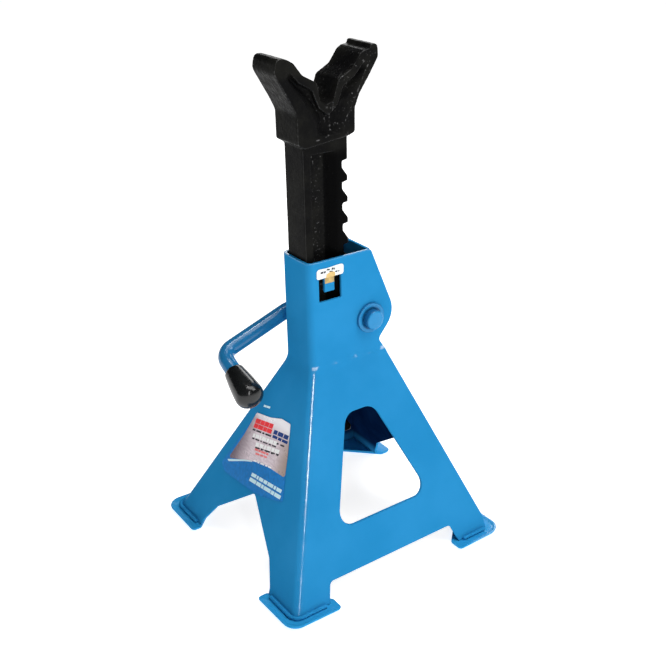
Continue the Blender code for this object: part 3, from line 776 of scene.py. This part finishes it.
def blue_paint(name, specular, detail=None, smoothest=0.18, dullest=0.34):
    """Gloss enamel: a faint orange peel, slow tone drift, slightly duller in drips and dust patches.

    A detail function adds what only one kind of piece has: it takes the looks and the tone, and returns
    the tone.
    """
    looks = Looks(name, ENAMEL, 0.24)
    looks.set(Specular_IOR_Level=specular)
    drift = looks.noise(14.0, 4.0, 0.55)
    tone = looks.mix(looks.ramp(drift, 0.35, 0.68), (0.019, 0.243, 0.530), (0.025, 0.266, 0.570))
    flecks = looks.ramp(looks.noise(900.0, 2.0, 0.6), 0.70, 0.80, 0.0, 0.25)
    tone = looks.mix(flecks, tone, (0.05, 0.36, 0.70))
    looks.rough(looks.ramp(looks.noise(45.0, 4.0, 0.6), 0.3, 0.75, smoothest, dullest))
    looks.colour(detail(looks, tone) if detail else tone)
    looks.bump(looks.noise(420.0, 2.0, 0.5), 0.04 * MM, 0.5)
    looks.bump(looks.noise(40.0, 2.0, 0.5), 0.25 * MM, 0.35)
    return looks.material


def glossy_bends(looks, tone):
    """The enamel is glossiest where the sheet is bent or folded, and on the cut edge at the tower's mouth."""
    mouth = looks.ramp(looks.place(2), TOWER_TOP - 1.3 * MM, TOWER_TOP - 0.4 * MM, 0.0, 0.6)
    crest = looks.ramp(crest_mask(looks), 0.0, 0.55)
    looks.join(looks.math("MAXIMUM", crest, mouth), looks.shader.inputs["Specular IOR Level"])
    looks.join(crest, looks.shader.inputs["Coat Weight"])
    looks.set(Coat_Roughness=0.20, Coat_IOR=2.4)
    return tone


def bar_painted_shade(looks, tone):
    """The bar's enamel is a little darker than the sheet's: a painted shade, standing in for the shade along
    the bar.
    """
    # painted shade: the whole bar's colour is pulled darker
    return looks.mix(0.45, tone, (0.006, 0.070, 0.185))


def pivot_painted_shade(looks, tone):
    """Painted shade: the colour is darkened in the crevice round the end cap's foot and along the washer's
    rim.
    """
    foot_radius, rim_start, rim_end = 10.7 * MM, 14.6 * MM, 15.5 * MM
    across = looks.math("SUBTRACT", looks.place(0), PIVOT.x)
    above = looks.math("SUBTRACT", looks.place(2), PIVOT.z)
    squares = looks.math("ADD", looks.product(across, across), looks.product(above, above))
    radius = looks.math("SQRT", squares)
    foot = looks.ramp(looks.away(radius, foot_radius), 0.5 * MM, 1.8 * MM, 0.85, 0.0)
    rim = looks.ramp(radius, rim_start, rim_end, 0.0, 0.7)
    # painted shade mixed into the enamel at the cap's foot and the washer's rim
    return looks.mix(looks.math("MAXIMUM", foot, rim), tone, PAINTED_SHADE_ENAMEL)


def pad_gloss_and_painted_light(looks, tone):
    """The pads' colour is painted lighter than the enamel, a painted light; their coat is glossiest on the
    curled outer lip of the two rear pads.
    """
    x = looks.place(0)
    beside = looks.ramp(looks.math("ABSOLUTE", looks.place(1)), 119.0 * MM, 123.5 * MM)
    rearward = looks.ramp(x, 84.0 * MM, 94.0 * MM)
    behind = looks.ramp(x, 120.0 * MM, 125.0 * MM)
    outer = looks.math("MAXIMUM", behind, looks.product(beside, rearward))
    raised = looks.ramp(looks.place(2), 3.8 * MM, 4.8 * MM)
    gloss = looks.product(outer, raised)
    looks.join(looks.ramp(gloss, 0.0, 1.0, 0.04, 1.0), looks.shader.inputs["Specular IOR Level"])
    # painted light: the pads' colour is mixed halfway to a lighter blue
    return looks.mix(0.5, tone, (0.030, 0.38, 0.76))


def crest_mask(looks):
    """1 where the coat is glossiest: a streak down each leg's front bend, and dashes on the waist fold."""
    fold_height, streak_turn = 200.5 * MM, 0.42
    x, y, z = looks.place(0), looks.place(1), looks.place(2)
    inward = looks.math("ADD", looks.face(TOWER_FRONT, FOOT_FRONT), x)
    beside = looks.math("SUBTRACT", looks.face(TOWER_SIDE, FOOT_SIDE), looks.math("ABSOLUTE", y))
    turn = looks.math("DIVIDE", looks.math("SUBTRACT", inward, beside), CORNER_RADIUS)
    offset = looks.away(turn, streak_turn)
    core = looks.ramp(offset, 0.12, 0.50, 1.0, 0.0)
    glow = looks.ramp(offset, 0.15, 1.10, 0.22, 0.0)
    strongest_up = looks.ramp(z, 60.0 * MM, 165.0 * MM, 0.16, 1.0)
    below_waist = looks.ramp(z, 190.0 * MM, 201.0 * MM, 1.0, 0.0)
    wander = looks.ramp(looks.noise(55.0, 3.0, 0.6), 0.30, 0.66, 0.45, 1.0)
    streak = looks.math("MAXIMUM", looks.product(core, strongest_up), glow)
    streak = looks.product(streak, wander, below_waist)
    fold = looks.ramp(looks.away(z, fold_height), 0.5 * MM, 2.6 * MM, 1.0, 0.0)
    dashes = looks.ramp(looks.noise(85.0, 2.0, 0.5), 0.52, 0.66)
    ends = looks.ramp(looks.away(x, -4.0 * MM), 12.0 * MM, 30.0 * MM, 0.25, 0.9)
    outer = looks.ramp(beside, 1.5 * MM, 3.0 * MM, 1.0, 0.0)
    return looks.math("MAXIMUM", streak, looks.product(fold, dashes, ends, outer), clamp=True)


def glossy_crests(looks):
    """1 on the beads of thick paint along the saddle's ribs and its groove's foot, on both faces."""
    crests = (((8.1, 476.7), (24.6, 488.0)), ((13.7, 438.0), (27.9, 463.4)), ((27.9, 463.4), (41.5, 489.0)),
              ((0.7, 431.0), (0.7, 457.0)), ((-7.5, 426.0), (-4.0, 427.5)), ((-19.0, 424.4), (-14.0, 425.0)))
    flat = looks.vector("MULTIPLY", looks.coordinate, (1.0, 0.0, 1.0))
    nearest = None
    for start, end in crests:
        start = Vector((start[0], 0.0, start[1])) * MM
        along = Vector((end[0], 0.0, end[1])) * MM - start
        away = looks.vector("SUBTRACT", flat, start)
        reach = looks.vector("DOT_PRODUCT", away, along / along.length_squared, "Value")
        foot = looks.nodes.new("ShaderNodeVectorMath")
        foot.operation = "SCALE"
        foot.inputs[0].default_value = along
        looks.join(looks.math("ADD", reach, 0.0, clamp=True), foot.inputs["Scale"])
        gap = looks.vector("DISTANCE", away, foot.outputs[0], "Value")
        nearest = looks.math("MINIMUM", nearest, gap) if nearest else gap
    line = looks.ramp(nearest, 0.15 * MM, 1.0 * MM, 1.0, 0.0)
    beads = looks.ramp(looks.noise(400.0, 3.0, 0.6), 0.46, 0.62, 0.12, 1.0)
    outside = looks.ramp(looks.math("ABSOLUTE", looks.place(1)), 10.5 * MM, 13.5 * MM)
    return looks.product(line, beads, outside)


def black_casting():
    """Black enamel brushed over a rough casting: glossy on grains and edges, with painted shade on the
    pockets' walls.
    """
    looks = Looks("black_casting", (0.010, 0.010, 0.011), 0.34)
    x, z = looks.place(0), looks.place(2)
    depth = looks.math("ABSOLUTE", looks.place(1))
    grains = looks.ramp(looks.noise(330.0, 3.0, 0.6), 0.58, 0.70)
    patches = looks.ramp(looks.noise(36.0, 2.0, 0.5), 0.44, 0.62)
    pocket = looks.product(looks.ramp(depth, 12.5 * MM, 14.5 * MM, 0.8, 0.0),
                           looks.ramp(looks.away(x, -14.5 * MM), 8.0 * MM, 10.0 * MM, 1.0, 0.0))
    saddle = looks.product(looks.ramp(z, 415.0 * MM, 440.0 * MM), patches,
                           looks.ramp(x, -20.0 * MM, 4.0 * MM, 0.05, 0.8))
    rough_cast = looks.math("MAXIMUM", looks.math("MAXIMUM", pocket, saddle), 0.03)
    gloss = looks.math("MAXIMUM", looks.product(grains, rough_cast), looks.edges(0.52, 0.58), clamp=True)
    gloss = looks.math("MAXIMUM", gloss, glossy_crests(looks))
    looks.join(looks.ramp(gloss, 0.0, 1.0, 0.018, 1.0), looks.shader.inputs["Specular IOR Level"])
    drift = looks.ramp(looks.noise(30.0, 5.0, 0.6), 0.35, 0.7)
    tone = looks.mix(drift, (0.0050, 0.0050, 0.0053), (0.0125, 0.0124, 0.0108))
    # painted shade: the pockets' walls under the saddle are coloured nearly black
    wall = looks.product(looks.ramp(depth, 16.5 * MM, 18.5 * MM, 1.0, 0.0),
                         looks.ramp(x, -6.5 * MM, -4.5 * MM),
                         looks.ramp(z, 405.0 * MM, 420.0 * MM, 1.0, 0.0))
    looks.colour(looks.mix(wall, tone, (0.0018, 0.0018, 0.0019)))
    looks.rough(looks.ramp(looks.noise(160.0, 4.0, 0.65), 0.3, 0.72, 0.20, 0.46))
    looks.bump(looks.noise(300.0, 4.0, 0.6), 0.30 * MM, 0.7)
    looks.bump(looks.noise(1100.0, 2.0, 0.5), 0.08 * MM, 0.6)
    return looks.material


def grip_moulding():
    looks = Looks("grip_moulding", (0.011, 0.011, 0.012), 0.28)
    looks.set(Specular_IOR_Level=0.5)
    drift = looks.ramp(looks.noise(60.0), 0.3, 0.7)
    looks.colour(looks.mix(drift, (0.0045, 0.0050, 0.0055), (0.0090, 0.0100, 0.0105)))
    looks.rough(looks.ramp(looks.noise(500.0, 3.0), 0.3, 0.7, 0.16, 0.26))
    looks.bump(looks.noise(1500.0, 2.0), 0.008 * MM, 0.4)
    return looks.material


def bare_steel(name, tone, roughness):
    looks = Looks(name, (tone, tone, tone), roughness, 0.9)
    drift = looks.ramp(looks.noise(60.0, 5.0, 0.6), 0.3, 0.7)
    pale = tone * 1.15
    looks.colour(looks.mix(drift, (tone * 0.7, tone * 0.68, tone * 0.66), (pale, pale, pale)))
    looks.rough(looks.ramp(looks.noise(260.0, 4.0), 0.3, 0.7, roughness - 0.1, roughness + 0.15))
    looks.bump(looks.noise(500.0, 3.0), 0.08 * MM, 0.6)
    return looks.material


def inner_painted_shade():
    """Dark inside of the base: a painted shade, which grows lighter and bluer towards the floor.

    What stands behind the rear panel's plane is full blue, without the painted shade, as it is open to view.
    """
    # painted shade: the inside of the base is coloured dark for the shade that fills it
    looks = Looks("inner_enamel_painted_shade", (0.0012, 0.010, 0.046), 0.5)
    looks.set(Specular_IOR_Level=0.0)
    drift = looks.ramp(looks.noise(22.0, 4.0, 0.6), 0.35, 0.7)
    deep_shade = looks.mix(drift, (0.0008, 0.007, 0.034), (0.0022, 0.016, 0.062))
    # the painted shade fades out towards the floor
    near_floor = looks.ramp(looks.place(2), 8.0 * MM, 26.0 * MM, 0.7, 0.0)
    shade_near_floor = looks.mix(near_floor, deep_shade, (0.016, 0.185, 0.42))
    behind = looks.math("SUBTRACT", looks.place(0), looks.face(TOWER_REAR, FOOT_REAR))
    looks.colour(looks.mix(looks.ramp(behind, -2.0 * MM, 0.5 * MM), shade_near_floor, ENAMEL))
    looks.rough(looks.ramp(looks.noise(70.0, 4.0, 0.6), 0.3, 0.75, 0.42, 0.66))
    looks.bump(looks.noise(380.0, 3.0, 0.6), 0.08 * MM, 0.5)
    return looks.material


def ink(name, colour, roughness=0.3, spread=0.12):
    """Printed film: an even tone with a faint mottle, a little duller where it is rubbed."""
    looks = Looks(name, colour, roughness)
    looks.set(Specular_IOR_Level=0.05)
    low = tuple(value * (1 - spread) for value in colour)
    high = tuple(min(1.0, value * (1 + spread)) for value in colour)
    looks.colour(looks.mix(looks.ramp(looks.noise(260.0, 3.0, 0.6), 0.3, 0.7), low, high))
    looks.rough(looks.ramp(looks.noise(90.0, 3.0, 0.6), 0.3, 0.72, roughness * 0.8, roughness * 1.35))
    looks.bump(looks.noise(700.0, 2.0, 0.5), 0.015 * MM, 0.4)
    return looks.material


def silver_film():
    """Brushed silver print: bright along its middle and top, darker and browner towards both sides."""
    looks = Looks("label_silver", (0.36, 0.30, 0.33), 0.32, 0.25)
    looks.set(Specular_IOR_Level=0.1)
    across = looks.place(1)
    far = looks.ramp(across, 22.0 * MM, 56.0 * MM)
    near = looks.ramp(looks.math("MULTIPLY", across, -1.0), 6.0 * MM, 34.0 * MM)
    brushed = looks.ramp(looks.noise(120.0, 4.0, 0.6, (0.3, 1.0, 5.0)), 0.3, 0.7)
    body = looks.mix(brushed, (0.60, 0.50, 0.55), (0.80, 0.70, 0.75))
    left = looks.mix(far, body, (0.16, 0.12, 0.15))
    right = looks.mix(near, left, (0.36, 0.28, 0.25))
    top = looks.ramp(looks.place(2), 128.0 * MM, 142.0 * MM)
    looks.colour(looks.mix(top, right, (0.92, 0.90, 0.93)))
    looks.rough(looks.ramp(looks.noise(90.0, 3.0), 0.3, 0.7, 0.26, 0.42))
    looks.bump(looks.noise(900.0, 2.0, 0.5, (0.3, 1.0, 6.0)), 0.015 * MM, 0.5)
    return looks.material


def dress(obj, material, body, slot, *nodes):
    """Give a piece its material and body, and hide the CAD nodes that it stands for; the slot is not used.

    A lofted sheet has no single material here: it keeps the two that it was made with.
    """
    if material:
        obj.data.materials.clear()
        obj.data.materials.append(material)
    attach(obj, body)
    if nodes:
        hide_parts(*nodes)


# ---------------------------------------------------------------- pieces

BLUE = blue_paint("blue_enamel", 0.0)
SHELL_BLUE = blue_paint("blue_enamel_pressed", 0.0, glossy_bends)
PAD_BLUE = blue_paint("blue_enamel_pads", 0.04, pad_gloss_and_painted_light)
BAR_BLUE = blue_paint("blue_enamel_bar", 0.45, bar_painted_shade, 0.13, 0.24)
PIVOT_BLUE = blue_paint("blue_enamel_pivot", 0.20, pivot_painted_shade)
INNER_SHADE = inner_painted_shade()
CASTING = black_casting()
GRIP = grip_moulding()
DULL = bare_steel("dull_pawl_steel", 0.22, 0.5)
BRIGHT = bare_steel("bright_pin_steel", 0.5, 0.35)
SILVER = silver_film()
BAND = ink("label_band", (0.010, 0.205, 0.580), 0.22)
RED_INK = ink("label_red", (0.95, 0.055, 0.065))
PINK_INK = ink("label_pink", (0.90, 0.22, 0.22))
NAVY_INK = ink("label_navy", (0.022, 0.055, 0.22))
DARK_INK = ink("print_black", (0.045, 0.042, 0.052), 0.35)
WHITE_INK = ink("label_white", (0.95, 0.95, 0.95), 0.35, 0.03)
PALE_INK = ink("label_pale_blue", (0.66, 0.90, 0.98), 0.3, 0.04)
PAPER = ink("sticker_paper", (0.86, 0.90, 0.90), 0.4, 0.03)
AMBER_INK = ink("sticker_amber", (0.72, 0.50, 0.20), 0.4, 0.10)

dress(front_shell(), None, "base", "blue_paint", "front_shell")
dress(rear_panel(), None, "base", "blue_paint", "rear_panel")
for label, signs in {"front": (-1, -1), "left": (-1, 1), "right": (1, -1), "rear": (1, 1)}.items():
    node = "foot_pad_" + label
    dress(foot_pad(node + "_steel", *signs), PAD_BLUE, "base", "blue_paint", node)
for name in ("throat_plate", "column_guide"):
    dress(softened_copy(name, name + "_steel", 0.5 * MM), BLUE, "base", "blue_paint", name)
beads = sorted(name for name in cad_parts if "_weld_" in name)
for seed, name in enumerate(beads):
    dress(weld_bead(name, name + "_bead", seed), BLUE, "base", "blue_paint", name)

column = voxel_skin("ratchet_column", "ratchet_column_casting", 0.8 * MM, 4)
roughen_column(column)
dress(column, CASTING, "column", "black_casting", "ratchet_column")

dress(lever_bar(), BAR_BLUE, "lever", "blue_paint", "lever_bar")
dress(lever_grip(), GRIP, "lever", "grip_plastic", "lever_grip")
dress(washer("washer_near_pressing", -1), PIVOT_BLUE, "lever", "blue_paint", "washer_near")
dress(washer("washer_far_pressing", 1), PIVOT_BLUE, "lever", "blue_paint", "washer_far")
dress(end_cap(), PIVOT_BLUE, "lever", "blue_paint", "end_cap")
dress(softened_copy("pawl", "pawl_steel", 0.6 * MM), DULL, "lever", "bare_steel", "pawl")
dress(softened_copy("pawl_pin", "pawl_pin_steel", 0.3 * MM), BRIGHT, "lever", "pin_steel", "pawl_pin")

for number, (layer, material) in enumerate(front_label()):
    dress(layer, material, "base", "label_film", *(("front_label",) if number == 0 else ()))
for number, (layer, material) in enumerate(throat_sticker()):
    dress(layer, material, "base", "sticker_film", *(("throat_sticker",) if number == 0 else ()))


# ---------------------------------------------------------------- room, light, camera

def pale_stage(obj, name, grain):
    """Give a stage piece its name and a pale, faintly mottled surface that glows, and return its looks."""
    obj.name = "studio_" + name
    looks = Looks("pale_" + name, (0.8, 0.8, 0.8), 0.9)
    looks.set(Emission_Color=(1, 1, 1, 1), Emission_Strength=PALE_GLOW)
    looks.colour(looks.mix(looks.noise(grain), (0.79, 0.79, 0.795), (0.81, 0.81, 0.81)))
    obj.data.materials.append(looks.material)
    return looks


def floor():
    """A wide pale floor, which glows a little less close to the object, so that shadows and shade show."""
    bpy.ops.mesh.primitive_plane_add(size=40.0, location=(0, 0, -0.2 * MM))
    looks = pale_stage(bpy.context.object, "floor", 3.0)
    looks.set(Specular_IOR_Level=0.1)
    distance = looks.vector("LENGTH", looks.coordinate, output="Value")
    looks.join(looks.ramp(distance, 0.3, 1.4, NEAR_GLOW, PALE_GLOW), looks.shader.inputs["Emission Strength"])


def backdrop():
    """A low pale wall all round, far off: a view from 15 degrees up ends in white, not in the dim room."""
    height = 1.25
    bpy.ops.mesh.primitive_cylinder_add(vertices=96, radius=15.0, depth=height, end_fill_type="NOTHING",
                                        location=(0, 0, height / 2))
    looks = pale_stage(bpy.context.object, "backdrop", 0.5)
    looks.set(Specular_IOR_Level=0.0)


def softbox(name, location, size, power):
    """A rectangular lamp, its size in metres and its power in watts, aimed at the middle of the stand."""
    light = bpy.data.lights.new(name, "AREA")
    light.shape = "RECTANGLE"
    light.size, light.size_y = size
    light.energy = power
    lamp = bpy.data.objects.new(name, light)
    SCENE.objects.link(lamp)
    lamp.location = location
    lamp.rotation_mode = "QUATERNION"
    aim = Vector((0, 0, 0.2))
    lamp.rotation_quaternion = (aim - Vector(location)).to_track_quat("-Z", "Y")


def studio():
    """A dim room with five lamps: near key, slim strip by the camera, top, back and a small glint."""
    world = bpy.data.worlds.new("studio")
    bpy.context.scene.world = world
    world.use_nodes = True
    background = world.node_tree.nodes["Background"]
    background.inputs["Color"].default_value = (1.0, 1.0, 1.0, 1.0)
    background.inputs["Strength"].default_value = 0.03
    bpy.context.scene.view_settings.view_transform = "Standard"
    softbox("key", (1.0, -1.5, 1.9), (0.9, 0.9), 14.0)
    softbox("strip", (-0.50, -1.40, 0.90), (0.12, 0.9), 4.5)
    softbox("top", (0.3, -0.5, 2.2), (1.4, 1.4), 27)
    softbox("back", (1.0, 0.9, 1.0), (1.2, 0.5), 9)
    softbox("glint", (-0.2, 0.2, 2.0), (0.22, 0.22), 3.5)


def camera():
    """The fitted view: azimuth -37.1 and elevation 23.2 degrees, with a small shift."""
    data = bpy.data.cameras.new("camera")
    data.sensor_width = 36.0
    data.lens = 55.41
    data.shift_x = -0.0793
    data.shift_y = -0.0613
    cam = bpy.data.objects.new("camera", data)
    SCENE.objects.link(cam)
    azimuth, elevation = radians(-37.10), radians(23.23)
    back = Vector((sin(azimuth) * cos(elevation), -cos(azimuth) * cos(elevation), sin(elevation)))
    cam.rotation_mode = "QUATERNION"
    cam.rotation_quaternion = (-back).to_track_quat("-Z", "Y")
    cam.location = (-0.5092, -0.7716, 0.6622)
    bpy.context.scene.camera = cam


floor()
backdrop()
studio()
camera()
